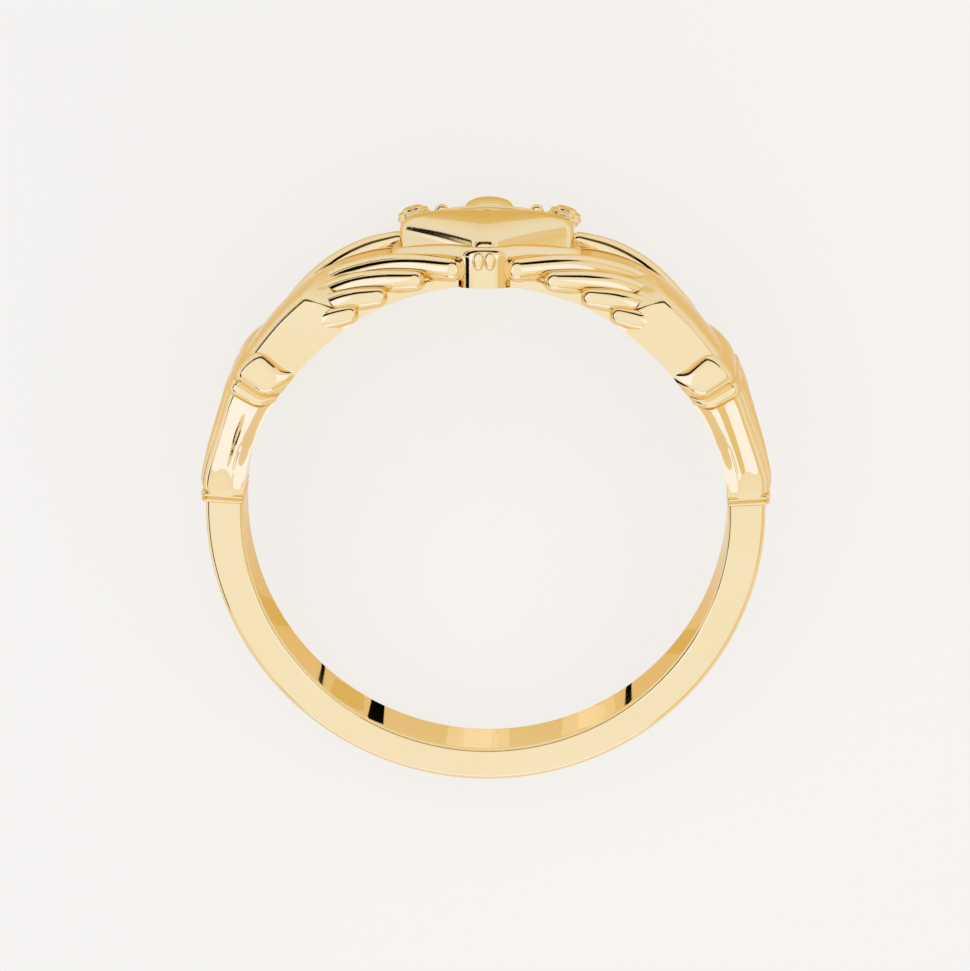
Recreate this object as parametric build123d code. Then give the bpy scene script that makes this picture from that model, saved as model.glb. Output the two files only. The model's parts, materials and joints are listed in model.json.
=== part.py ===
"""A cast claddagh ring: two cuffed hands hold a crowned heart, on a plain tapered shank.

The ring is drawn upright first: X across it, Y up through the heart, Z along the finger, with the
heart's point at +Z and the crown at -Z. It is then laid on its side, as it rests by itself: it lies
on the crown's outer points and on the back edge of the shank, so its bore leans a little.
"""
import math
import os

from build123d import *

# Driving dimensions, in millimetres and degrees. Angles are measured round the finger from the heart.
bore_diameter = 17.3
shank_width = 3.1
shank_back_thickness = 1.1
shank_side_thickness = 1.34
shank_edge_radius = 0.18

cuff_end_angle = 87.0
cuff_start_angle = 60.0
cuff_width = 7.0
cuff_end_width = 3.5
cuff_thickness = 1.52
cuff_rib_height = 0.1
cuff_rib_count = 4

trim_width_angle = 1.6
trim_overhang = 0.1

collar_start_angle = 50.8
collar_end_angle = 61.5
collar_width = 7.7
collar_thickness = 1.95

hand_width = 7.3
hand_thickness = 1.72
finger_radius = 0.5
thumb_radius = 0.62

seat_thickness = 0.55
seat_near_reach = 2.6
seat_far_reach = 4.1
seat_half_angle = 38.0

heart_width = 6.9
heart_length = 6.0
heart_tip_reach = 3.35
heart_height = 2.35
heart_dome_radius = 9.0
heart_edge_radius = 0.6
heart_tip_radius = 0.7

crown_height = 1.62
crown_reach = 5.15
crown_overlap = 1.0
crown_base_width = 4.9
crown_top_width = 5.6
crown_root_reach = 2.3
crown_band_length = 0.95
crown_band_height = 1.85
crown_outer_radius = 0.6
crown_leaf_radius = 0.8
crown_pearl_radius = 0.27

# How far each form runs into the bore before the bore is cut, and how far a cutting shape passes its piece.
root_depth = 0.4
cut_margin = 1.0

# Shares that a form keeps at any size.
CUFF_EDGE_SHARE = 0.86
COLLAR_EDGE_SHARE = 0.80
HEART_LOBE_SHARE = 0.265
HEART_PEAK_SHARE = 0.52
CROWN_VALLEY_SHARE = 0.42
CROWN_GAP_SHARE = 0.56
CROWN_CENTRE_SHARE = 0.30
BAND_FLARE_SHARES = (1.03, 1.08)
BEAD_SINK_SHARE = 0.5

bore_radius = bore_diameter / 2
root_radius = bore_radius - root_depth
anchor_radius = root_radius - 2 * root_depth


def on_ring(angle, height, along):
    """The point at an angle from the heart, a height above the bore, and a place along the finger."""
    turn = math.radians(angle)
    radius = bore_radius + height
    return Vector(radius * math.sin(turn), radius * math.cos(turn), along)


def arc(centre, radius, start, stop):
    """An arc round a centre, between two bearings in radians."""
    bearings = (start, (start + stop) / 2, stop)
    x, y = centre
    return ThreePointArc(*[(x + radius * math.cos(b), y + radius * math.sin(b)) for b in bearings])


def radial_plane(angle):
    """The plane through the finger's axis at an angle: its x is the radius and its y is along the finger."""
    turn = math.radians(angle)
    return Plane(
        origin=(0, 0, 0),
        x_dir=(math.sin(turn), math.cos(turn), 0),
        z_dir=(math.cos(turn), -math.sin(turn), 0),
    )


def section(angle, near, far, edge_height, crest_height, ribs=0, rib_height=0.0):
    """A closed outline across the ring: flat inside, straight sides and a crowned or ribbed top."""
    low = root_radius
    edge = bore_radius + edge_height
    crest = bore_radius + crest_height
    middle = (near + far) / 2
    half = (near - far) / 2

    def top(along):
        share = (along - middle) / half
        return crest - (crest - edge) * share * share

    lines = [Line((edge, far), (low, far)), Line((low, far), (low, near)), Line((low, near), (edge, near))]
    if ribs:
        step = (far - near) / ribs
        for k in range(ribs):
            start = near + k * step
            stop = start + step
            centre = (start + stop) / 2
            ridge = (top(centre) + rib_height, centre)
            lines.append(ThreePointArc((top(start), start), ridge, (top(stop), stop)))
    else:
        lines.append(ThreePointArc((edge, near), (crest, middle), (edge, far)))
    return radial_plane(angle) * make_face(lines)


def shank():
    """The plain band: its outer circle is set towards the heart, so that it is thinnest at the back."""
    shift = shank_side_thickness - shank_back_thickness
    band = extrude(Pos(0, shift) * Circle(bore_radius + shank_side_thickness), shank_width / 2, both=True)
    band = fillet(band.edges().filter_by(GeomType.CIRCLE), shank_edge_radius)
    span = 2 * (bore_radius + shank_side_thickness + shift + cut_margin)
    joint = math.radians(cuff_end_angle - trim_width_angle / 2)
    top = (bore_radius + shank_side_thickness) * math.cos(joint)
    return band & Pos(0, top - span / 2) * Box(2 * span, span, 2 * span)


# Rows: how far along the cuff, then shares of the width's growth and of the thickness.
CUFF_ROWS = [
    # along, width share, thickness share
    (0.0, 1.00, 0.98),
    (0.35, 0.70, 1.00),
    (0.75, 0.28, 1.03),
    (1.0, 0.00, 0.99),
]


def cuff():
    """The ribbed sleeve: it tapers from the collar down to the shank's width."""
    sections = []
    for along, width_share, thickness_share in CUFF_ROWS:
        angle = cuff_start_angle + along * (cuff_end_angle - cuff_start_angle)
        half = (cuff_end_width + (cuff_width - cuff_end_width) * width_share) / 2
        crest = cuff_thickness * thickness_share
        edge = crest * CUFF_EDGE_SHARE
        sections.append(section(angle, half, -half, edge, crest, cuff_rib_count, cuff_rib_height))
    return loft(sections, ruled=True)


def trim():
    """The narrow moulding where the sleeve meets the shank."""
    half = cuff_end_width / 2 + trim_overhang
    edge = cuff_thickness * CUFF_EDGE_SHARE
    start = cuff_end_angle - trim_width_angle
    return loft([section(a, half, -half, edge, cuff_thickness) for a in (start, cuff_end_angle)])


# Rows: how far along the collar, then shares of its width and thickness.
COLLAR_ROWS = [
    # along, width share, thickness share
    (0.0, 0.93, 0.93),
    (0.3, 1.00, 1.00),
    (0.7, 0.97, 0.94),
    (1.0, 0.91, 0.84),
]


def collar():
    """The turned-back cuff's rim at the wrist."""
    sections = []
    for along, width_share, thickness_share in COLLAR_ROWS:
        angle = collar_start_angle + along * (collar_end_angle - collar_start_angle)
        half = collar_width / 2 * width_share
        crest = collar_thickness * thickness_share
        sections.append(section(angle, half, -half, crest * COLLAR_EDGE_SHARE, crest))
    return loft(sections)


# Rows: angle from the heart, then shares of half the hand's width and of its thickness.
PALM_ROWS = [
    # angle, near share, far share, edge height share, crest height share
    (9.0, 0.70, 0.72, 0.25, 0.66),
    (22.0, 0.77, 0.84, 0.30, 0.86),
    (34.0, 0.88, 0.94, 0.60, 0.99),
    (44.0, 0.98, 0.96, 0.80, 1.00),
    (54.0, 0.98, 0.94, 0.84, 0.98),
]


def palm():
    """The back of the hand, from the wrist to under the heart."""
    half = hand_width / 2
    return loft(
        [
            section(angle, near * half, -far * half, edge * hand_thickness, crest * hand_thickness)
            for angle, near, far, edge, crest in PALM_ROWS
        ]
    )


def bone(start, start_radius, stop, stop_radius):
    """One straight length of a finger: a tapered rod with a round at each end."""
    axis = stop - start
    length = axis.length
    lean = math.asin((start_radius - stop_radius) / length)
    low = arc((0, 0), start_radius, -math.pi / 2, lean)
    high = arc((0, length), stop_radius, lean, math.pi / 2)
    outline = [Line(high @ 1, low @ 0), low, Line(low @ 1, high @ 0), high]
    profile = Plane.XZ * make_face(outline)
    rod = revolve(profile, Axis.Z)
    side = Vector(0, 0, 1).cross(axis)
    return Plane(origin=start, x_dir=side, z_dir=axis) * rod


# Rows: the joints of each finger from the knuckle to the tip. Angle from the heart, then shares of
# half the hand's width, of its thickness and of the finger's radius.
FINGERS = {
    "index": [(36.0, 0.06, 0.74, 0.90), (22.0, 0.38, 0.66, 0.92), (8.0, 0.66, 0.38, 0.84)],
    "middle": [(38.5, 0.32, 0.70, 0.90), (27.0, 0.55, 0.58, 0.92), (15.5, 0.76, 0.32, 0.78)],
    "ring": [(40.5, 0.58, 0.64, 0.86), (32.0, 0.70, 0.48, 0.86), (23.5, 0.78, 0.27, 0.72)],
    "little": [(43.0, 0.78, 0.56, 0.80), (37.5, 0.84, 0.42, 0.78), (31.5, 0.83, 0.24, 0.66)],
}
THUMB = [(44.0, -0.52, 0.66, 0.90), (31.0, -0.70, 0.66, 0.98), (20.5, -0.80, 0.56, 0.80)]


def digit(joints, radius):
    """A finger or thumb, as a row of bones between its joints."""
    points = [
        (on_ring(angle, height * hand_thickness, along * hand_width / 2), share * radius)
        for angle, along, height, share in joints
    ]
    rods = [bone(p, r, q, s) for (p, r), (q, s) in zip(points, points[1:])]
    return rods[0].fuse(*rods[1:])


def seat():
    """The smooth band under the heart and the fingertips, which closes the ring."""
    outer = Circle(bore_radius + seat_thickness)
    reach = bore_radius + seat_thickness + cut_margin
    turn = math.radians(seat_half_angle)
    wedge = make_face(
        Polyline((0, 0), (reach * math.tan(turn), reach), (-reach * math.tan(turn), reach), close=True)
    )
    band = extrude(outer & wedge, seat_near_reach + seat_far_reach)
    return Pos(0, 0, -seat_far_reach) * band


def heart_outline():
    """The heart seen from above, with its point at +y: two round lobes and sides tangent to them."""
    lobe = heart_width * HEART_LOBE_SHARE
    offset = heart_width / 2 - lobe
    level = heart_tip_reach - heart_length + lobe
    tip = heart_tip_reach - heart_tip_radius
    span = math.hypot(offset, tip - level)
    square = math.atan2(tip - level, -offset) - math.acos((lobe - heart_tip_radius) / span)
    notch = -math.pi / 2 - math.asin(offset / lobe)
    right = arc((offset, level), lobe, notch, square)
    left = arc((-offset, level), lobe, math.pi - square, math.pi - notch)
    point = arc((0, tip), heart_tip_radius, square, math.pi - square)
    return make_face([right, Line(right @ 1, point @ 0), point, Line(point @ 1, left @ 0), left])


def upright_plane():
    """The plane inside the ring, below the heart and the crown, from which both are drawn outwards."""
    return Plane(origin=(0, anchor_radius, 0), x_dir=(-1, 0, 0), z_dir=(0, 1, 0))


def heart():
    """The heart: upright walls, a domed top and a rim that is rounded on each half, up to the notch."""
    crest = bore_radius + heart_height
    block = extrude(upright_plane() * heart_outline(), crest - anchor_radius + cut_margin)
    centre_along = heart_tip_reach - heart_length * HEART_PEAK_SHARE
    dome = Pos(0, crest - heart_dome_radius, centre_along) * Sphere(heart_dome_radius)
    span = 2 * heart_dome_radius
    half = block & dome & Pos(span / 2, 0, 0) * Box(span, 2 * span, span)
    upper = [e for e in half.edges() if e.center().Y > crest - heart_height / 2]
    rim = [e for e in upper if e.center().X > heart_edge_radius / 2]
    half = half.fillet(heart_edge_radius, rim)
    return half.fuse(mirror(half, about=Plane.YZ))


def crown_bead(across, along, radius):
    """A round bead sunk a little into the top of the crown's fan."""
    height = math.sqrt((bore_radius + crown_height) ** 2 - across * across)
    return Pos(across, height - radius * BEAD_SINK_SHARE, along) * Sphere(radius)


def crown_plate(corners, height):
    """A flat outline drawn out to a plate, whose top follows the ring's curve at a height above the bore."""
    top = bore_radius + height
    outline = upright_plane() * make_face(Polyline(*corners, close=True))
    plate = extrude(outline, top - anchor_radius + cut_margin)
    return plate & Cylinder(top, 4 * crown_reach)


def crown():
    """The crown behind the heart: a raised band, and a fan that ends in three large beads and two pearls."""
    band_end = crown_root_reach + crown_band_length
    half_base = crown_base_width / 2
    half_top = crown_top_width / 2
    gap = half_top * CROWN_GAP_SHARE
    middle = half_top * CROWN_CENTRE_SHARE
    valley = band_end + (crown_reach - band_end) * CROWN_VALLEY_SHARE
    tips = crown_reach - crown_outer_radius
    right = [
        (half_base, crown_overlap - crown_root_reach),
        (half_base, -band_end),
        (half_top, -tips),
        (gap, -valley),
        (middle, -tips),
    ]
    left = [(-x, along) for x, along in reversed(right)]
    fan = crown_plate(right + left, crown_height)
    near, far = [half_base * share for share in BAND_FLARE_SHARES]
    start = crown_overlap / 2 - crown_root_reach
    corners = [(near, start), (far, -band_end), (-far, -band_end), (-near, start)]
    band = crown_plate(corners, crown_band_height)
    beads = [crown_bead(0, crown_leaf_radius - crown_reach, crown_leaf_radius)]
    for side in (-1, 1):
        beads.append(crown_bead(side * half_top, -tips, crown_outer_radius))
        beads.append(crown_bead(side * gap, -valley, crown_pearl_radius))
    return fan.fuse(band, *beads)


def upright_ring():
    """The whole casting, with the finger's bore cut through it."""
    half = [cuff(), trim(), collar(), palm(), digit(THUMB, thumb_radius)]
    half += [digit(joints, finger_radius) for joints in FINGERS.values()]
    other = [mirror(piece, about=Plane.YZ) for piece in half]
    whole = shank().fuse(seat(), *half, *other, heart(), crown())
    return whole - Cylinder(bore_radius, 8 * crown_reach)


def laid_down(ring):
    """Leans the ring until its crown and the back of its shank touch the floor together."""
    crown_foot = (bore_radius + crown_height - crown_outer_radius, -crown_reach)
    shank_foot = (-(bore_radius + shank_back_thickness - shank_edge_radius), -shank_width / 2)
    lean = math.degrees(math.atan2(shank_foot[1] - crown_foot[1], crown_foot[0] - shank_foot[0]))
    ring = Rot(lean, 0, 0) * ring
    box = ring.bounding_box()
    return Pos(0, -(box.min.Y + box.max.Y) / 2, -box.min.Z) * ring, lean


if __name__ == "__main__":
    os.makedirs("parts", exist_ok=True)
    ring, lean = laid_down(upright_ring())
    print("lean", round(lean, 2), "solids", len(ring.solids()), "volume", round(ring.volume, 2))
    export_step(ring.solid(), "parts/claddagh_ring.step")
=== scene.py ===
# %% [markdown]
# # A claddagh ring in polished gold
# Two cuffed hands hold a crowned heart, and a plain shank closes the circle. The ring was cast in one piece,
# so one CAD solid carries its size, weight and collision. Here each form of the casting is modelled again
# with finer detail, in the same place, and all of them take the same gold.

# %% Load the frame
import json
import math

import bmesh
import bpy
from mathutils import Matrix, Vector


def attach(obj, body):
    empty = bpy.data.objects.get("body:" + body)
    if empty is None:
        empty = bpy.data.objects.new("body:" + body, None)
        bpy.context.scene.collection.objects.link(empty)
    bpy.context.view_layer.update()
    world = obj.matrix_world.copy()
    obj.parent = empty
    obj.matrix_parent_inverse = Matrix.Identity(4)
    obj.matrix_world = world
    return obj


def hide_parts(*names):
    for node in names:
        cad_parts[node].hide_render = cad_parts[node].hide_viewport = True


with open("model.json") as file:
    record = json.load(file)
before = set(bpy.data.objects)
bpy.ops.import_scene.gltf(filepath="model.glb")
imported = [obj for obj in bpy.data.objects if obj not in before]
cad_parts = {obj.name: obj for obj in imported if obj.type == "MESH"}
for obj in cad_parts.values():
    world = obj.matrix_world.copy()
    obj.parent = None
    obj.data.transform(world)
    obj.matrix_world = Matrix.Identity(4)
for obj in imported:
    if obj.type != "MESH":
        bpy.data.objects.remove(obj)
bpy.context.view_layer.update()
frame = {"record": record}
bore = frame["record"]["mounts"][0]
lean = math.atan2(-bore["axis"][1], bore["axis"][2])
bore_centre = Vector(bore["pos_m"])
print("the ring leans by", round(math.degrees(lean), 2), "degrees")
print("its bore centre is", tuple(bore_centre))

# %% [markdown]
# ## Upright and lying
# A ring is easiest to think about upright: X across it, Y up through the heart, Z along the finger towards
# the heart's point. All sizes of the ring are millimetres in that upright frame. One matrix then lays each
# mesh down as the CAD ring lies, and turns millimetres into metres. The cards and the floor round it are in
# metres from the start. Where two forms overlap in the finger hollow, the hidden one lies a lap deeper, so
# that one clean surface shows.

# %% Sizes of the casting
BORE = bore["dims"]["r_mm"]
MM = 0.001
LAY_DOWN = Matrix.Translation(bore_centre) @ Matrix.Rotation(lean, 4, "X") @ Matrix.Scale(MM, 4)
LAP = 0.012
print("bore radius", BORE, "mm, lap", LAP, "mm")


# %% Places on the ring
def on_ring(angle, radius, along):
    """The upright point at an angle from the heart, in degrees, a radius, and a place along the finger."""
    turn = math.radians(angle)
    return Vector((radius * math.sin(turn), radius * math.cos(turn), along))


def ring_height(radius, across):
    """How high a cylinder of that radius round the finger stands, at a distance from the ring's middle."""
    return math.sqrt(radius**2 - across**2)


print("the bore's height at 3 mm from the middle is", round(ring_height(BORE, 3.0), 3), "mm")


# %% Shares and soft steps
def mix(a, b, share):
    """The value that lies a share of the way from a to b."""
    return a + (b - a) * share


def part(value, start, end):
    """The share of the way from start to end at which a value lies."""
    return (value - start) / (end - start)


def smooth(low, high, value):
    """0 below low, 1 above high and a soft step between them."""
    share = min(1.0, max(0.0, part(value, low, high)))
    return share * share * (3 - 2 * share)


def window(edges, value):
    """1 between the two inner edges, 0 beyond the outer two, and a soft step at either side."""
    start, full, leave, end = edges
    return smooth(start, full, value) * (1 - smooth(leave, end, value))


def squared_off(value, power):
    """A sine or cosine raised so that its circle grows square shoulders; power 2 leaves it round."""
    return math.copysign(abs(value) ** (2 / power), value)


def along_rows(rows, value):
    """Reads a table of rows that start with a rising value, on a smooth curve through the rows."""
    value = min(max(value, rows[0][0]), rows[-1][0])
    number = 0
    while number < len(rows) - 2 and value > rows[number + 1][0]:
        number += 1
    low, high = rows[number], rows[number + 1]
    before, after = rows[max(0, number - 1)], rows[min(len(rows) - 1, number + 2)]
    span = high[0] - low[0]
    share = (value - low[0]) / span
    found = []
    for column in range(1, len(low)):
        leave = (high[column] - before[column]) / (high[0] - before[0]) * span
        arrive = (after[column] - low[column]) / (after[0] - low[0]) * span
        found.append(
            (2 * share**3 - 3 * share**2 + 1) * low[column]
            + (share**3 - 2 * share**2 + share) * leave
            + (3 * share**2 - 2 * share**3) * high[column]
            + (share**3 - share**2) * arrive
        )
    return found


print("a soft step is at", smooth(0.0, 1.0, 0.25), "a quarter of the way along")

# %% [markdown]
# ## The camera
# The photograph looks along the finger from the heart's point, a little above the finger's axis and a
# little to its right, through a long lens. The lens and the direction were worked out from the ring's own
# circles. With the ring lying down, that camera looks almost straight down at it.

# %% Camera
CAMERA_LIFT = math.radians(13.5)
CAMERA_SWING = math.radians(1.42)
CAMERA_DISTANCE = 213.0
LENS = 219.8
SHIFT = (-0.0014, 0.0222)
to_camera = Vector(
    (
        math.sin(CAMERA_SWING) * math.cos(CAMERA_LIFT),
        math.sin(CAMERA_LIFT),
        math.cos(CAMERA_SWING) * math.cos(CAMERA_LIFT),
    )
)
camera_right = Vector((math.cos(CAMERA_SWING), 0, -math.sin(CAMERA_SWING)))
camera_up = to_camera.cross(camera_right)
turned = LAY_DOWN.to_3x3().normalized()
camera_data = bpy.data.cameras.new("photograph_camera")
camera_data.lens = LENS
camera_data.sensor_width = 36.0
camera_data.shift_x, camera_data.shift_y = SHIFT
camera_data.clip_start = 0.01
camera_data.clip_end = 10.0
camera = bpy.data.objects.new("photograph_camera", camera_data)
bpy.context.collection.objects.link(camera)
axes = Matrix((turned @ camera_right, turned @ camera_up, turned @ to_camera)).transposed().to_4x4()
camera.matrix_world = Matrix.Translation(LAY_DOWN @ (to_camera * CAMERA_DISTANCE)) @ axes
bpy.context.scene.camera = camera
print("camera height above the floor", round(camera.location.z, 4), "m")

# %% [markdown]
# ## The studio
# Jewellery is photographed in a tent of white paper, because polished metal shows only what is round it.
# A bright sky stands for the paper. Black and dark brown cards stand round the ring, and they draw the thin
# dark lines that give the gold its edges. Amber cards deepen the gold on the right, and cool white ones
# light it from both sides and from the front. The floor is pale because it gives off light of its own, so
# that shadows stay faint.

# %% Sky
SKY_STOPS = [
    # sine of the height above the horizon, colour
    (0.0, (0.86, 0.70, 0.46)),
    (0.35, (0.94, 0.84, 0.68)),
    (0.75, (1.00, 0.985, 0.955)),
    (1.0, (1.00, 0.995, 0.985)),
]
world = bpy.data.worlds.new("white_tent")
bpy.context.scene.world = world
world.use_nodes = True
sky = world.node_tree
background = sky.nodes["Background"]
coordinate = sky.nodes.new("ShaderNodeTexCoord")
split = sky.nodes.new("ShaderNodeSeparateXYZ")
ramp = sky.nodes.new("ShaderNodeValToRGB")
sky.links.new(coordinate.outputs["Generated"], split.inputs["Vector"])
sky.links.new(split.outputs["Z"], ramp.inputs["Fac"])
sky.links.new(ramp.outputs["Color"], background.inputs["Color"])
elements = ramp.color_ramp.elements
elements[0].position, elements[1].position = SKY_STOPS[0][0], SKY_STOPS[-1][0]
for place, _ in SKY_STOPS[1:-1]:
    elements.new(place)
for element, (_, colour) in zip(elements, SKY_STOPS):
    element.color = (*colour, 1)
background.inputs["Strength"].default_value = 0.985
bpy.context.scene.view_settings.view_transform = "Standard"
print("sky stops", len(elements))


# %% Paper and card
def plain_material(name, colour, glow, glow_colour=(1.0, 0.985, 0.97)):
    """A matt surface that can also give off light of its own."""
    material = bpy.data.materials.new(name)
    material.use_nodes = True
    shader = material.node_tree.nodes["Principled BSDF"]
    shader.inputs["Base Color"].default_value = (*colour, 1)
    shader.inputs["Roughness"].default_value = 1.0
    shader.inputs["Specular IOR Level"].default_value = 0.0
    shader.inputs["Emission Color"].default_value = (*glow_colour, 1)
    shader.inputs["Emission Strength"].default_value = glow
    return material


DULL = (0.02, 0.02, 0.02)
paper = plain_material("floor_paper", (0.26, 0.258, 0.256), 0.69)
black = plain_material("black_card", (0.004, 0.004, 0.004), 0.0)
amber = plain_material("amber_card", DULL, 1.0, (0.84, 0.66, 0.34))
dark_brown = plain_material("dark_brown_card", DULL, 1.0, (0.075, 0.045, 0.015))
honey = plain_material("honey_card", DULL, 1.0, (0.80, 0.72, 0.47))
pale = plain_material("pale_card", DULL, 1.0, (0.98, 1.0, 1.12))
daylight = plain_material("light_card", DULL, 1.12, (0.96, 1.0, 1.26))
print("papers", [material.name for material in (paper, black, amber, dark_brown, honey, pale, daylight)])


# %% Floor
def flat_card(name, material, width, height, placing):
    """A card of one flat face that isn't part of the ring; a matrix puts it in its place."""
    bm = bmesh.new()
    bmesh.ops.create_grid(bm, x_segments=1, y_segments=1, size=0.5)
    bmesh.ops.scale(bm, vec=(width, height, 1), verts=bm.verts)
    bmesh.ops.transform(bm, matrix=placing, verts=bm.verts)
    mesh = bpy.data.meshes.new(name)
    bm.to_mesh(mesh)
    bm.free()
    card = bpy.data.objects.new(name, mesh)
    bpy.context.collection.objects.link(card)
    mesh.materials.append(material)
    return card


def facing(place, target):
    """The matrix that puts a card at a place and turns it to face a target."""
    look = (Vector(target) - Vector(place)).normalized()
    return Matrix.Translation(place) @ look.to_track_quat("Z", "Y").to_matrix().to_4x4()


FLOOR_SIDE = 1.2
flat_card("floor", paper, FLOOR_SIDE, FLOOR_SIDE, facing((0, 0, 0), (0, 0, 1)))
print("floor", FLOOR_SIDE, "m square")

# %% Cards
CARDS = [
    # name, material, bearing in degrees from +Y towards -X, distance, width, height, height of its middle
    ("card_left_back", black, 66.0, 0.10, 0.044, 0.030, 0.034),
    ("card_left_far", black, 36.0, 0.10, 0.066, 0.032, 0.036),
    ("card_left_low", black, 56.0, 0.08, 0.070, 0.005, 0.0042),
    ("card_back", dark_brown, 0.0, 0.10, 0.110, 0.036, 0.034),
    ("card_left", black, 108.0, 0.10, 0.070, 0.030, 0.035),
    ("card_left_front", black, 145.0, 0.10, 0.010, 0.008, 0.026),
    ("card_right_front", amber, -140.0, 0.10, 0.050, 0.044, 0.034),
    ("card_right", amber, -98.0, 0.10, 0.080, 0.056, 0.040),
    ("card_right_low", amber, -104.0, 0.095, 0.060, 0.014, 0.007),
    ("card_right_back", black, -30.0, 0.10, 0.034, 0.032, 0.034),
    ("light_left", daylight, 80.0, 0.13, 0.14, 0.060, 0.110),
    ("light_left_low", daylight, 104.0, 0.095, 0.060, 0.014, 0.007),
    ("light_right", daylight, -80.0, 0.13, 0.10, 0.050, 0.120),
    ("light_front", daylight, 180.0, 0.13, 0.16, 0.050, 0.052),
]
CARD_AIM = (0, 0, 0.004)
for name, material, bearing, distance, width, height, level in CARDS:
    turn = math.radians(bearing)
    place = (-distance * math.sin(turn), distance * math.cos(turn), level)
    card = flat_card(name, material, width, height, facing(place, CARD_AIM))
    card.visible_camera = False
print("cards", len(CARDS))

# %% [markdown]
# ## Bars in the bore
# The polished bore of the shank mirrors what lies under the ring. In the photograph three dark strips cross
# it, between paler and deeper stretches of gold. Each strip here is a scrap of card on the floor, found by
# following the camera's line of sight from the bore down to the floor. The camera itself doesn't see them,
# as with any flag in a studio. A honey card behind the heart deepens the gold of its top in the same way.

# %% Bars
BARS = [
    # material, angle past the back of the ring towards -X in degrees, width in millimetres
    (black, 43.5, 0.14),
    (black, 27.4, 0.50),
    (black, -36.5, 0.20),
    (honey, 63.0, 2.60),
    (honey, 35.5, 1.10),
    (pale, 7.4, 0.55),
    (daylight, 2.0, 1.20),
    (pale, -3.4, 0.55),
    (pale, -20.6, 0.50),
    (daylight, -25.5, 1.05),
    (pale, -30.4, 0.50),
    (honey, -55.0, 2.60),
]
BAR_REACH = 1.7
SCRAP_LEVEL = 0.00003


def floor_under(angle, along):
    """Where the line of sight that meets the bore at an angle and a place along it lands on the floor."""
    turn = math.radians(angle)
    inward = Vector((math.sin(turn), math.cos(turn), 0))
    wall = Vector((-BORE * math.sin(turn), -BORE * math.cos(turn), along))
    sight = (wall - to_camera * CAMERA_DISTANCE).normalized()
    bounced = turned @ (sight - 2 * sight.dot(inward) * inward)
    start = LAY_DOWN @ wall
    return start - bounced * (start.z - SCRAP_LEVEL) / bounced.z


def leave_to_gold(card):
    """Lets only the gold see a card: it isn't in the picture, casts no shade and tints no matt surface."""
    card.visible_camera = False
    card.visible_shadow = False
    card.visible_diffuse = False


for number, (material, angle, width) in enumerate(BARS, 1):
    near, far = floor_under(angle, BAR_REACH), floor_under(angle, -BAR_REACH)
    run = far - near
    laid = Matrix.Translation((near + far) / 2) @ Matrix.Rotation(math.atan2(run.y, run.x), 4, "Z")
    leave_to_gold(flat_card(f"bar_{number}", material, run.length, width * MM, laid))
print("bars", len(BARS))

# %% Reflector behind the heart
HEART_TOP = BORE + 2.10
REFLECTOR_BEHIND = 0.0022
REFLECTOR_WIDTH, REFLECTOR_DEPTH = 0.0078, 0.0064
heart_top = LAY_DOWN @ Vector((0, HEART_TOP, 0))
place = Vector((0, heart_top.y + REFLECTOR_BEHIND, SCRAP_LEVEL))
face_up = facing(place, place + Vector((0, 0, 1)))
leave_to_gold(flat_card("reflector", honey, REFLECTOR_WIDTH, REFLECTOR_DEPTH, face_up))
print("reflector behind", tuple(round(v, 4) for v in heart_top))

# %% [markdown]
# ## Gold
# Yellow gold is a metal with a warm colour of its own, and every reflection takes that colour once more,
# so the creases deepen by themselves. Hand polishing leaves the surface bright but never quite even: a
# slow change of roughness and tone keeps the reflections from looking computed, and very faint hairlines
# show where the ring has been handled.


# %% Gold material
def polished_gold():
    material = bpy.data.materials.new("polished_yellow_gold")
    material.use_nodes = True
    tree = material.node_tree
    shader = tree.nodes["Principled BSDF"]
    shader.inputs["Metallic"].default_value = 1.0
    shader.inputs["Specular Tint"].default_value = (0.91, 0.66, 0.31, 1)
    place = tree.nodes.new("ShaderNodeTexCoord")
    cloud = tree.nodes.new("ShaderNodeTexNoise")
    cloud.inputs["Scale"].default_value = 260.0
    cloud.inputs["Detail"].default_value = 3.0
    tree.links.new(place.outputs["Object"], cloud.inputs["Vector"])
    polish = tree.nodes.new("ShaderNodeMapRange")
    polish.inputs["From Min"].default_value = 0.3
    polish.inputs["From Max"].default_value = 0.75
    polish.inputs["To Min"].default_value = 0.035
    polish.inputs["To Max"].default_value = 0.085
    tree.links.new(cloud.outputs["Fac"], polish.inputs["Value"])
    tree.links.new(polish.outputs["Result"], shader.inputs["Roughness"])
    tone = tree.nodes.new("ShaderNodeValToRGB")
    tone.color_ramp.elements[0].position = 0.35
    tone.color_ramp.elements[0].color = (0.925, 0.770, 0.485, 1)
    tone.color_ramp.elements[1].position = 0.7
    tone.color_ramp.elements[1].color = (0.935, 0.795, 0.520, 1)
    tree.links.new(cloud.outputs["Fac"], tone.inputs["Fac"])
    tree.links.new(tone.outputs["Color"], shader.inputs["Base Color"])
    stretch = tree.nodes.new("ShaderNodeMapping")
    stretch.inputs["Scale"].default_value = (1.0, 0.25, 3.0)
    stretch.inputs["Rotation"].default_value = (0.4, 0.2, 0.7)
    tree.links.new(place.outputs["Object"], stretch.inputs["Vector"])
    hairline = tree.nodes.new("ShaderNodeTexNoise")
    hairline.inputs["Scale"].default_value = 5200.0
    hairline.inputs["Detail"].default_value = 2.0
    tree.links.new(stretch.outputs["Vector"], hairline.inputs["Vector"])
    scratch = tree.nodes.new("ShaderNodeBump")
    scratch.inputs["Strength"].default_value = 0.02
    scratch.inputs["Distance"].default_value = 0.00002
    tree.links.new(hairline.outputs["Fac"], scratch.inputs["Height"])
    tree.links.new(scratch.outputs["Normal"], shader.inputs["Normal"])
    return material


GOLD = polished_gold()
print("material", GOLD.name)

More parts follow.
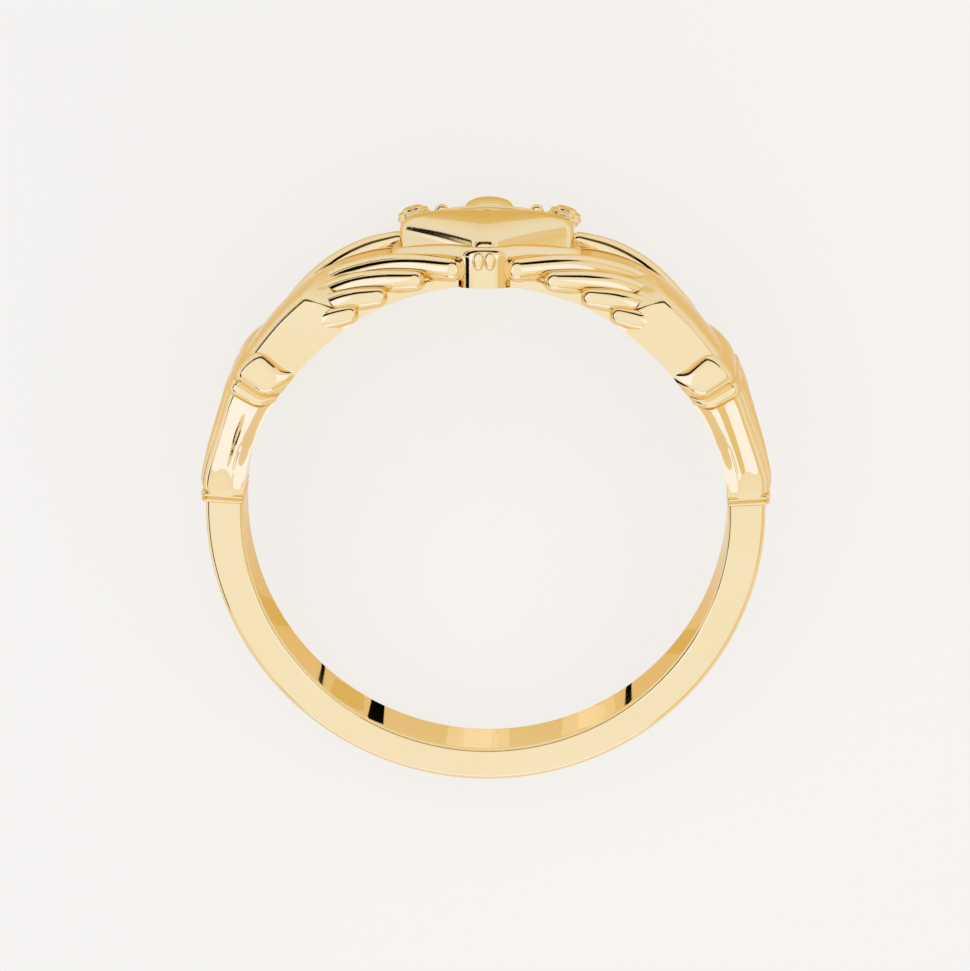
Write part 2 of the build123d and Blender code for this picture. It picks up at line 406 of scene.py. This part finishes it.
# %% [markdown]
# ## From bmesh to piece
# Each form is drawn upright as a bmesh. This step lays it down, gives it the gold, hangs it on the ring's
# root body and hides the CAD solid that it stands for. A form that both sides have is mirrored. Most
# forms start as a flat grid of cells that is bent into a closed skin, because a formula can then say where
# each corner of the skin lies.

# %% Piece helpers
WELD = 0.0005


def finish_piece(bm, name, sharp, mirrored=False):
    """Turns an upright bmesh into a piece of the ring that lies in its place."""
    flip = Matrix.Scale(-1, 4, (1, 0, 0)) if mirrored else Matrix.Identity(4)
    bmesh.ops.transform(bm, matrix=LAY_DOWN @ flip, verts=bm.verts)
    bmesh.ops.recalc_face_normals(bm, faces=bm.faces)
    for face in bm.faces:
        face.smooth = True
    mesh = bpy.data.meshes.new(name)
    bm.to_mesh(mesh)
    bm.free()
    mesh.set_sharp_from_angle(angle=math.radians(sharp))
    mesh.materials.append(GOLD)
    piece = bpy.data.objects.new(name, mesh)
    bpy.context.collection.objects.link(piece)
    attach(piece, "root")
    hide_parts("claddagh_ring")
    print(name, len(mesh.polygons), "faces")


def both_sides(make, name, sharp, *sizes):
    """Makes a form for the right side, and its mirror image for the left."""
    finish_piece(make(*sizes), "right_" + name, sharp)
    finish_piece(make(*sizes), "left_" + name, sharp, mirrored=True)


def wrap(around, across, surface):
    """A grid of cells bent into a closed skin: surface(u, w) gives the point for each of its corners."""
    bm = bmesh.new()
    bmesh.ops.create_grid(bm, x_segments=around, y_segments=across, size=0.5)
    for corner in bm.verts:
        corner.co = surface(corner.co.x + 0.5, corner.co.y + 0.5)
    bmesh.ops.remove_doubles(bm, verts=bm.verts, dist=WELD)
    bmesh.ops.holes_fill(bm, edges=[edge for edge in bm.edges if edge.is_boundary], sides=0)
    return bm


print("the seam of a skin is welded within", WELD, "mm")

# %% [markdown]
# ## The shank
# The plain half of the ring is a flat-sided band whose edges are only just broken. Its outer circle is set
# a little towards the heart, so the band is thinnest at the back. It is one rounded section, carried round.

# %% Rounded section
ARC_SHARE = 0.6


def rounded_section(share, low, high, half, edge, inner_edge):
    """A point of a band's section, along and out. Its corners are arcs, and share runs once round it."""
    corners = [
        # corner radius, side along, whether it is an outer corner, where its arc starts in degrees
        (inner_edge, 1, False, 270),
        (edge, 1, True, 0),
        (edge, -1, True, 90),
        (inner_edge, -1, False, 180),
    ]

    def on_corner(number, swept):
        radius, side, outer, start = corners[number % 4]
        turn = math.radians(start + 90 * swept)
        middle = high - radius if outer else low + radius
        return Vector((side * (half - radius) + radius * math.cos(turn), middle + radius * math.sin(turn)))

    step = share * 4 % 4
    number = int(step)
    inside = step - number
    point = on_corner(number, min(1.0, inside / ARC_SHARE))
    if inside > ARC_SHARE:
        point = point.lerp(on_corner(number + 1, 0.0), part(inside, ARC_SHARE, 1.0))
    return point.x, point.y


print("each arc takes", ARC_SHARE, "of a quarter of the section's points")

# %% Shank
SHANK_WIDTH = 3.1
SHANK_BACK = 1.10
SHANK_SIDE = 1.34
SHANK_START = 86.2
SHANK_EDGE, SHANK_INNER_EDGE = 0.22, 0.22


def shank_outside(angle):
    """The outer radius of the shank at an angle, from its shifted outer circle."""
    shift = SHANK_SIDE - SHANK_BACK
    turn = math.radians(angle)
    radius = BORE + SHANK_SIDE
    return shift * math.cos(turn) + math.sqrt(radius**2 - (shift * math.sin(turn)) ** 2)


def shank():
    def surface(u, w):
        angle = mix(SHANK_START, 360 - SHANK_START, u)
        high = shank_outside(angle)
        along, out = rounded_section(w, BORE, high, SHANK_WIDTH / 2, SHANK_EDGE, SHANK_INNER_EDGE)
        return on_ring(angle, out, along)

    return wrap(240, 80, surface)


finish_piece(shank(), "shank", sharp=60)

# %% [markdown]
# ## Sleeves, collars and mouldings
# Each arm of the ring is a sleeve. A narrow moulding starts it, ribs run along its outside, its side wall
# holds a framed panel, and it ends in a collar that stands clear of the wrist. Each is a section that
# changes as it goes round, so each is one bent grid. The collar's roll turns under itself near the bore,
# and the sleeve's end follows it there.

# %% Arm section
NEAR_WALL_END, CREST_END, FAR_WALL_END = 0.24, 0.76, 0.97
ROLL_HEIGHT = 0.65
ROLL_SHIFT = 2.6


def arch(share, half, low, crest, near, far):
    """A point of an arm's section, along and out. Share runs up the near wall, over the crest, down the far
    wall and back along the bore. Near and far hold the radius where a wall ends and how square it turns."""
    if share < NEAR_WALL_END:
        return half, mix(low, near[0], share / NEAR_WALL_END)
    if share < CREST_END:
        turn = part(share, NEAR_WALL_END, CREST_END) * math.pi
        side, rise = math.cos(turn), math.sin(turn)
        edge, squareness = near if side > 0 else far
        return half * squared_off(side, squareness), mix(edge, crest, squared_off(rise, squareness))
    if share < FAR_WALL_END:
        return -half, mix(far[0], low, part(share, CREST_END, FAR_WALL_END))
    return mix(-half, half, part(share, FAR_WALL_END, 1.0)), low


def under_roll(out):
    """1 at the bore, falling to 0 at the height where the collar's roll stands straight."""
    low = max(0.0, 1 - (out - BORE) / ROLL_HEIGHT)
    return low * low


print("a collar's foot turns under by", ROLL_SHIFT, "degrees")

# %% Sleeves
SLEEVE_START, SLEEVE_END = 60.5, 85.4
SLEEVE_ROWS = [
    # angle, half width, crest radius
    (60.5, 3.36, 10.42),
    (64.0, 3.12, 10.36),
    (68.0, 2.82, 10.27),
    (73.0, 2.42, 10.23),
    (79.0, 1.98, 10.26),
    (83.5, 1.76, 10.28),
    (85.4, 1.70, 10.16),
]
SLEEVE_EDGE_DROP = 0.42
SLEEVE_SQUARENESS = 2.5
RIB_COUNT = 9
RIB_HEIGHT = 0.11
RIB_FULLNESS = 0.8
RIBS_ROUND = (SLEEVE_START, SLEEVE_START + 2.0, 83.4, 85.0)
RIBS_ACROSS = (0.10, 0.22, 0.78, 0.90)
INNER_SLOPE, INNER_SLOPE_TOP = 0.13, 0.46
PANEL_DEPTH = 0.04
PANEL_ROUND = (60.0, 70.0, 77.0, 84.0)
PANEL_UP = (0.46, 0.70, 0.76, 1.0)
CREASE_DEPTH, CREASE_HEIGHT, CREASE_WIDTH = 0.028, 0.40, 0.035
CREASE_ROUND = (71.0, 75.0, 78.0, 82.5)


def rib_cut(angle, place):
    """How deep the crest is cut at an angle and a share of the way across, to leave the ribs standing."""
    groove = abs(math.sin(math.pi * RIB_COUNT * place)) ** RIB_FULLNESS
    return RIB_HEIGHT * (1 - groove) * window(RIBS_ROUND, angle) * window(RIBS_ACROSS, place)


def wall_sunk(angle, height):
    """How far the side wall lies back at an angle and a share of its height: slope, panel and crease."""
    slope = INNER_SLOPE * (1 - smooth(0.0, INNER_SLOPE_TOP, height))
    panel = PANEL_DEPTH * window(PANEL_ROUND, angle) * window(PANEL_UP, height)
    line = math.exp(-(((height - CREASE_HEIGHT) / CREASE_WIDTH) ** 2))
    return slope + panel + CREASE_DEPTH * window(CREASE_ROUND, angle) * line


def sleeve():
    def surface(u, w):
        angle = mix(SLEEVE_START, SLEEVE_END, u)
        half, crest = along_rows(SLEEVE_ROWS, angle)
        wall = (crest - SLEEVE_EDGE_DROP, SLEEVE_SQUARENESS)
        along, out = arch(w, half, BORE + 2 * LAP, crest, wall, wall)
        if NEAR_WALL_END < w < CREST_END:
            place = part(w, NEAR_WALL_END, CREST_END)
            cut = rib_cut(angle, place)
            out -= cut * math.sin(math.pi * place)
            along -= cut * math.cos(math.pi * place)
        else:
            along *= 1 - wall_sunk(angle, part(out, BORE, wall[0])) / half
        return on_ring(angle - ROLL_SHIFT * under_roll(out) * (1 - u) ** 4, out, along)

    return wrap(180, 280, surface)


both_sides(sleeve, "sleeve", 50)

# %% Collars
COLLAR_ROWS = [
    # angle, half width, crest radius: a full roll, a crease, then a narrow band
    (50.2, 3.36, 10.14),
    (51.2, 3.66, 10.30),
    (53.0, 3.86, 10.42),
    (55.0, 3.94, 10.49),
    (57.0, 3.86, 10.50),
    (58.2, 3.62, 10.45),
    (58.7, 3.50, 10.41),
    (59.3, 3.56, 10.43),
    (60.6, 3.54, 10.41),
    (61.6, 3.30, 10.33),
]
COLLAR_EDGE_DROP = 0.50
COLLAR_SQUARENESS = 4.6
COLLAR_FAR_EDGE, COLLAR_FAR_SQUARENESS = 9.3, 2.1
BARREL, BARREL_HEIGHT = 0.09, 1.5
ROLL_SLOPE = 0.30


def collar():
    def surface(u, w):
        angle = mix(COLLAR_ROWS[0][0], COLLAR_ROWS[-1][0], u)
        half, crest = along_rows(COLLAR_ROWS, angle)
        near = (crest - COLLAR_EDGE_DROP, COLLAR_SQUARENESS)
        along, out = arch(w, half, BORE + LAP, crest, near, (COLLAR_FAR_EDGE, COLLAR_FAR_SQUARENESS))
        barrel = BARREL * math.sin(math.pi * min(1.0, (out - BORE) / BARREL_HEIGHT))
        along *= 1 + (barrel - ROLL_SLOPE * under_roll(out)) / half
        return on_ring(angle - ROLL_SHIFT * under_roll(out), out, along)

    return wrap(120, 120, surface)


both_sides(collar, "collar", 50)

# %% Mouldings
MOULDING_ROWS = [
    # angle, how far it stands out beyond the shank
    (84.8, 0.02),
    (85.1, 0.13),
    (85.6, 0.17),
    (86.0, 0.05),
    (86.4, 0.15),
    (86.9, 0.12),
    (87.2, -0.02),
]
MOULDING_EDGE, MOULDING_INNER_EDGE = 0.2, 0.06


def moulding():
    def surface(u, w):
        angle = mix(MOULDING_ROWS[0][0], MOULDING_ROWS[-1][0], u)
        proud = along_rows(MOULDING_ROWS, angle)[0]
        high, half = shank_outside(angle) + proud, SHANK_WIDTH / 2 + proud
        along, out = rounded_section(w, BORE + LAP, high, half, MOULDING_EDGE, MOULDING_INNER_EDGE)
        return on_ring(angle, out, along)

    return wrap(48, 80, surface)


both_sides(moulding, "moulding", 50)

# %% [markdown]
# ## The hands
# The back of each hand is domed and highest near its front edge, and it falls away to a thin rim at the
# bore. Past the knuckles it drops to a low bed, where four fingers lie side by side and curl down to the
# heart's foot, and the thumb lies behind the heart. A finger is a tube with a round at each end: it is a
# curve with a bevel, because a curve holds both its path and its thickness.

# %% Hand section
NEAR_RIM_END, HAND_CREST_END, FAR_RIM_END = 0.10, 0.82, 0.94
RIM_HEIGHT = 0.32
RIM_TO_EDGE = (0.0, 0.10, 0.88, 1.0)
WALL_LEAN = 0.06
FAR_EDGE_LIMIT = 9.15
FAR_SQUARENESS, FAR_SWELL = 2.3, 2.0


def hand_section(share, row, squareness, swell, top):
    """A point of the hand's section, along and out. Share runs up the near rim, over the crest, down the far
    rim and back. Top is the crest's place along, and squareness and swell shape its near side."""
    near, far, edge, crest = row
    low, rim = BORE + 2 * LAP, BORE + RIM_HEIGHT
    if share < NEAR_RIM_END:
        return near, mix(low, rim, share / NEAR_RIM_END)
    if share < HAND_CREST_END:
        place = part(share, NEAR_RIM_END, HAND_CREST_END)
        side, rise = math.cos(place * math.pi), math.sin(place * math.pi)
        reach, lean = near - top, WALL_LEAN
        if side <= 0:
            reach, lean, edge = far + top, 0.0, min(edge, FAR_EDGE_LIMIT)
            squareness, swell = FAR_SQUARENESS, FAR_SWELL
        out = mix(mix(rim, edge, window(RIM_TO_EDGE, place)), crest, squared_off(rise, swell))
        return top + reach * squared_off(side, squareness) - lean * (out - rim), out
    if share < FAR_RIM_END:
        return -far, mix(rim, low, part(share, HAND_CREST_END, FAR_RIM_END))
    return mix(-far, near, part(share, FAR_RIM_END, 1.0)), low


print("the hand's rim stands", RIM_HEIGHT, "mm over the bore")

# %% Palms
BED_ROWS = [
    # the low bed under the fingers: angle, near half, far half, edge radius, crest radius
    (5.0, 2.45, 3.2, 9.05, 9.40),
    (16.0, 2.70, 3.3, 9.05, 9.64),
    (24.0, 2.85, 3.4, 9.08, 10.02),
    (31.0, 3.05, 3.5, 9.10, 10.24),
    (38.0, 3.45, 3.5, 9.15, 10.32),
    (46.0, 3.58, 3.5, 9.20, 10.34),
]
BED_SQUARENESS, BED_SWELL, BED_TOP = 2.3, 1.55, -0.3
BACK_ROWS = [
    # the back of the hand, with a square near edge: the same columns
    (5.0, 2.45, 3.2, 9.20, 9.60),
    (24.0, 2.95, 3.4, 9.60, 10.18),
    (30.0, 3.15, 3.5, 9.88, 10.42),
    (36.0, 3.40, 3.5, 10.04, 10.55),
    (42.0, 3.56, 3.3, 10.08, 10.55),
    (48.0, 3.60, 3.2, 10.04, 10.50),
    (56.0, 3.44, 3.2, 9.98, 10.42),
]
BACK_SQUARENESS, BACK_SWELL, BACK_TOP = 3.4, 2.8, 2.2
KNUCKLE_ANGLE = 33.5
KNUCKLE_TREND, KNUCKLE_TREND_START = 1.1, 0.6
KNUCKLE_BEFORE, KNUCKLE_AFTER = 4.5, 1.5


def palm():
    def surface(u, w):
        angle = mix(BED_ROWS[0][0], BACK_ROWS[-1][0], u)
        bed, back = along_rows(BED_ROWS, angle), along_rows(BACK_ROWS, angle)
        bed_along, bed_out = hand_section(w, bed, BED_SQUARENESS, BED_SWELL, BED_TOP)
        along, out = hand_section(w, back, BACK_SQUARENESS, BACK_SWELL, BACK_TOP)
        knuckle = KNUCKLE_ANGLE + KNUCKLE_TREND * max(0.0, along - KNUCKLE_TREND_START)
        raised = smooth(knuckle - KNUCKLE_BEFORE, knuckle + KNUCKLE_AFTER, angle)
        return on_ring(angle, mix(bed_out, out, raised), mix(bed_along, along, raised))

    return wrap(200, 220, surface)


both_sides(palm, "palm", 50)

# %% Fingers and thumbs
DIGITS = {
    # joints from knuckle to tip: angle, height above the bore, along, radius
    "index_finger": [
        (35.5, 1.38, 0.30, 0.36),
        (29.0, 1.30, 0.84, 0.45),
        (18.5, 1.05, 1.72, 0.46),
        (7.2, 0.62, 2.66, 0.43),
    ],
    "middle_finger": [
        (38.5, 1.26, 1.25, 0.36),
        (32.5, 1.15, 1.72, 0.46),
        (25.0, 0.92, 2.25, 0.45),
        (15.6, 0.52, 2.88, 0.38),
    ],
    "ring_finger": [
        (40.8, 1.08, 1.90, 0.34),
        (36.5, 0.98, 2.36, 0.44),
        (30.5, 0.77, 2.80, 0.42),
        (24.3, 0.44, 3.02, 0.36),
    ],
    "little_finger": [
        (43.0, 0.96, 2.40, 0.32),
        (39.5, 0.80, 2.80, 0.40),
        (35.8, 0.60, 3.16, 0.38),
        (31.6, 0.38, 3.22, 0.33),
    ],
    "thumb": [
        (46.0, 1.10, -1.9, 0.50),
        (36.0, 1.20, -2.35, 0.60),
        (27.0, 1.14, -2.75, 0.58),
        (20.0, 1.00, -2.95, 0.44),
    ],
}
END_ROUND = [
    # how far past the last joint, and how thick, as shares of that joint's radius
    (0.45, 0.89),
    (0.75, 0.66),
    (0.93, 0.36),
    (1.0, 0.02),
]
END_WELD = 0.002


def round_end(joint, inner, radius):
    """The knots that close a digit past its last joint, as pairs of a point and a thickness."""
    outwards = (joint - inner).normalized()
    return [(joint + outwards * radius * reach, radius * thick) for reach, thick in END_ROUND]


def digit(joints):
    """A tube through the joints, with a round at each end, made by a curve and read back as a mesh."""
    knots = [(on_ring(angle, BORE + height, along), radius) for angle, height, along, radius in joints]
    first = round_end(knots[0][0], knots[1][0], knots[0][1])
    last = round_end(knots[-1][0], knots[-2][0], knots[-1][1])
    knots = first[::-1] + knots + last
    curve = bpy.data.curves.new("digit_path", "CURVE")
    curve.dimensions = "3D"
    curve.bevel_depth = 1.0
    curve.bevel_resolution = 10
    curve.resolution_u = 10
    spline = curve.splines.new("NURBS")
    spline.points.add(len(knots) - 1)
    for knot, (point, radius) in zip(spline.points, knots):
        knot.co = (*point, 1)
        knot.radius = radius
    spline.order_u = 3
    spline.use_endpoint_u = True
    holder = bpy.data.objects.new("digit_path", curve)
    mesh = bpy.data.meshes.new_from_object(holder)
    bm = bmesh.new()
    bm.from_mesh(mesh)
    bmesh.ops.remove_doubles(bm, verts=bm.verts, dist=END_WELD)
    bmesh.ops.holes_fill(bm, edges=[edge for edge in bm.edges if edge.is_boundary], sides=0)
    bpy.data.objects.remove(holder)
    bpy.data.curves.remove(curve)
    bpy.data.meshes.remove(mesh)
    return bm


for name, joints in DIGITS.items():
    both_sides(digit, name, 80, joints)

# %% [markdown]
# ## The seat and the heart
# A smooth band runs behind the fingertips and under the heart. The heart is a puffy pillow with steep
# sides, over a lower rim, and the rim's blunt point comes down to the bore between the two index fingers.

# %% Seat
SEAT_NEAR, SEAT_FAR, SEAT_HEIGHT = 2.75, 3.9, 0.40
SEAT_ANGLE = 34
SEAT_EDGE, SEAT_INNER_EDGE = 0.18, 0.05


def seat():
    middle = (SEAT_NEAR - SEAT_FAR) / 2
    half = (SEAT_NEAR + SEAT_FAR) / 2

    def surface(u, w):
        along, out = rounded_section(w, BORE, BORE + SEAT_HEIGHT, half, SEAT_EDGE, SEAT_INNER_EDGE)
        return on_ring(mix(-SEAT_ANGLE, SEAT_ANGLE, u), out, middle + along)

    return wrap(120, 64, surface)


finish_piece(seat(), "seat_band", sharp=60)

# %% Heart outline
HEART_HALF = 3.45
HEART_TIP = 3.30
HEART_BACK = -2.55
HEART_LOBE = 1.86
OUTLINE_LOW, OUTLINE_HIGH, OUTLINE_HALVINGS = 0.2, 8.0, 24


def heart_edge(turn, tip_radius):
    """The heart's outline at a bearing from its middle: two lobes, and sides that close to a blunt point.
    Each half is roughly what a disc sweeps while it shrinks from the lobe to the point."""
    lobe = Vector((HEART_HALF - HEART_LOBE, HEART_BACK + HEART_LOBE))
    tip = Vector((0, HEART_TIP - tip_radius))
    span = lobe - tip
    direction = Vector((math.sin(turn), math.cos(turn)))
    ray = Vector((abs(direction.x), direction.y))
    low, high = OUTLINE_LOW, OUTLINE_HIGH
    for _ in range(OUTLINE_HALVINGS):
        middle = (low + high) / 2
        point = ray * middle
        share = min(1.0, max(0.0, (point - tip).dot(span) / span.length_squared))
        inside = (point - (tip + span * share)).length < mix(tip_radius, HEART_LOBE, share)
        low, high = (middle, high) if inside else (low, middle)
    return direction * low


print("the heart's rim is", 2 * HEART_HALF, "mm wide")

# %% Heart
HEART_TIP_RADIUS = 0.50
HEART_BODY_SHARE = 0.90
HEART_SHOULDER = BORE + 1.15
HEART_FOOT = BORE + 0.2
HEART_PEAK = 0.2
HEART_SLOPE_RADIUS = 13.0
HEART_SQUARENESS = 3.5
PILLOW_END = 0.72


def heart():
    def surface(u, w):
        edge = heart_edge(u * math.tau, HEART_TIP_RADIUS) * HEART_BODY_SHARE
        if w < PILLOW_END:
            turn = w / PILLOW_END * math.pi / 2
            reach = squared_off(math.sin(turn), HEART_SQUARENESS)
            rise = squared_off(math.cos(turn), HEART_SQUARENESS)
            along = edge.y * reach
            top = HEART_TOP - (along - HEART_PEAK) ** 2 / (2 * HEART_SLOPE_RADIUS)
            return Vector((edge.x * reach, mix(HEART_SHOULDER, top, rise), along))
        return Vector((edge.x, mix(HEART_SHOULDER, HEART_FOOT, part(w, PILLOW_END, 1.0)), edge.y))

    return wrap(240, 110, surface)


finish_piece(heart(), "heart", sharp=60)

# %% Heart rim
RIM_TIP_RADIUS = 1.02
RIM_TOP = BORE + 1.42
RIM_ROUND = 0.36
RIM_ROUND_END, RIM_WALL_END = 0.4, 0.7


def heart_rim():
    """The lower rim round the heart: a round top, a wall, and an underside that follows the bore."""

    def surface(u, w):
        edge = heart_edge(u * math.tau, RIM_TIP_RADIUS)
        top = ring_height(RIM_TOP, edge.x)
        if w < RIM_ROUND_END:
            turn = w / RIM_ROUND_END * math.pi / 2
            place = edge.normalized() * (edge.length - RIM_ROUND + RIM_ROUND * math.sin(turn))
            return Vector((place.x, top - RIM_ROUND + RIM_ROUND * math.cos(turn), place.y))
        if w < RIM_WALL_END:
            foot = ring_height(BORE + LAP, edge.x)
            height = mix(top - RIM_ROUND, foot, part(w, RIM_ROUND_END, RIM_WALL_END))
            return Vector((edge.x, height, edge.y))
        place = edge * (1 - part(w, RIM_WALL_END, 1.0))
        return Vector((place.x, ring_height(BORE + LAP, place.x), place.y))

    return wrap(240, 60, surface)


finish_piece(heart_rim(), "heart_rim", sharp=60)

# %% Foot beads
FOOT_BEAD_RADIUS = 0.21
FOOT_BEAD_STRETCH = (1, 1.6, 0.9)
FOOT_BEAD_PLACE = (0.2, BORE + 0.98, HEART_TIP - 0.04)


def foot_bead():
    """One of the two small beads on the heart's foot."""
    bm = bmesh.new()
    bmesh.ops.create_uvsphere(bm, u_segments=32, v_segments=20, radius=FOOT_BEAD_RADIUS)
    bmesh.ops.scale(bm, vec=FOOT_BEAD_STRETCH, verts=bm.verts)
    bmesh.ops.translate(bm, vec=FOOT_BEAD_PLACE, verts=bm.verts)
    return bm


both_sides(foot_bead, "foot_bead", 80)

# %% [markdown]
# ## The crown
# The crown sits on the heart's two lobes. It is a fan with three broad points, a headband of two rails
# close behind the heart, and beads set into its top: a domed one in the middle, one with petal rings at
# either side, and a pearl between the middle and each side. The fan and the headband are grids bent over
# the finger, as the arms are.

# %% Crown fan
CROWN_RADIUS = BORE + 1.48
CROWN_ROOT, CROWN_BAND_END, CROWN_BAND_MIDDLE = -1.3, -3.25, -2.725
CROWN_SIDE, FAN_SIDE = 2.55, 3.05
FAN_EDGE = [
    # share of the way from the middle to the side, how far the fan's edge reaches along
    (0.0, -4.62),
    (0.25, -4.62),
    (0.53, -4.05),
    (0.76, -4.62),
    (1.0, -4.62),
]
FAN_CORNER, FAN_INNER_CORNER = 0.1, 0.03
ROOT_STEP, ROOT_STEP_START, ROOT_STEP_END = 0.18, -2.2, -1.7


def fan_reach(share):
    """How far the fan's edge reaches, on straight lines between the rows of its table."""
    for (start, here), (end, there) in zip(FAN_EDGE, FAN_EDGE[1:]):
        if share <= end:
            return mix(here, there, part(share, start, end))
    return FAN_EDGE[-1][1]


def crown_fan():
    """The fan of the crown: it starts under the heart, spreads past the band and ends in three points."""

    def surface(u, w):
        side = 2 * u - 1
        reach = fan_reach(abs(side))
        half = (CROWN_ROOT - reach) / 2
        along, up = rounded_section(w, 0.0, 1.0, half, FAN_CORNER, FAN_INNER_CORNER)
        along += (CROWN_ROOT + reach) / 2
        spread = min(1.0, max(0.0, part(along, CROWN_BAND_END, FAN_EDGE[0][1])))
        across = side * mix(CROWN_SIDE, FAN_SIDE, spread)
        low = ring_height(BORE + LAP, across)
        root = ROOT_STEP * smooth(ROOT_STEP_START, ROOT_STEP_END, along)
        return Vector((across, mix(low, ring_height(CROWN_RADIUS - root, across), up), along))

    return wrap(160, 80, surface)


finish_piece(crown_fan(), "crown_fan", sharp=35)

# %% Crown band
BAND_SIDE, BAND_HALF, BAND_HEIGHT = 2.72, 0.46, 1.66
BAND_FOOT = BORE + 0.15
BAND_EDGE, BAND_INNER_EDGE = 0.2, 0.05
BAND_HOLLOW, HOLLOW_START, HOLLOW_END = 0.14, 0.06, 0.24
BAND_TOP_FROM = 1.0
BAND_FLARE = 0.02


def crown_band():
    """The crown's headband: two rails with a hollow between them."""

    def surface(u, w):
        across = mix(-BAND_SIDE, BAND_SIDE, u)
        along, up = rounded_section(w, 0.0, BAND_HEIGHT, BAND_HALF, BAND_EDGE, BAND_INNER_EDGE)
        if up > BAND_TOP_FROM:
            up -= BAND_HOLLOW * (1 - smooth(HOLLOW_START, HOLLOW_END, abs(along)))
        base = ring_height(BAND_FOOT, across)
        flared = across * (1 + BAND_FLARE * (up - BAND_TOP_FROM))
        return Vector((flared, base + up, along + CROWN_BAND_MIDDLE))

    return wrap(60, 80, surface)


finish_piece(crown_band(), "crown_band", sharp=50)

# %% Crown beads
CROWN_BEADS = {
    # across, along, radius, height as a share of the radius, petal rings
    "crown_centre": (0.0, -4.3, 0.86, 0.42, 0),
    "crown_leaf": (2.72, -4.45, 0.60, 0.62, 12),
    "crown_pearl": (1.72, -4.3, 0.25, 1.0, 0),
}
BEAD_LIFT = 0.02
PETAL_DEPTH = 0.05


def bead(across, along, radius, flat, rings):
    """A bead set into the top of the crown; rings run round its crest like the edges of petals."""
    bm = bmesh.new()
    bmesh.ops.create_uvsphere(bm, u_segments=48, v_segments=48, radius=radius)
    if rings:
        for corner in bm.verts:
            polar = math.acos(max(-1.0, min(1.0, corner.co.z / radius)))
            corner.co *= 1 + PETAL_DEPTH * math.cos(rings * polar)
    bmesh.ops.scale(bm, vec=(1, 1, flat), verts=bm.verts)
    base = ring_height(CROWN_RADIUS + BEAD_LIFT, across)
    tilt = Matrix.Rotation(-math.asin(across / CROWN_RADIUS), 4, "Z") @ Matrix.Rotation(math.pi / 2, 4, "X")
    bmesh.ops.transform(bm, matrix=Matrix.Translation((across, base, along)) @ tilt, verts=bm.verts)
    return bm


finish_piece(bead(*CROWN_BEADS["crown_centre"]), "crown_centre", sharp=80)
for name in ("crown_leaf", "crown_pearl"):
    both_sides(bead, name, 80, *CROWN_BEADS[name])
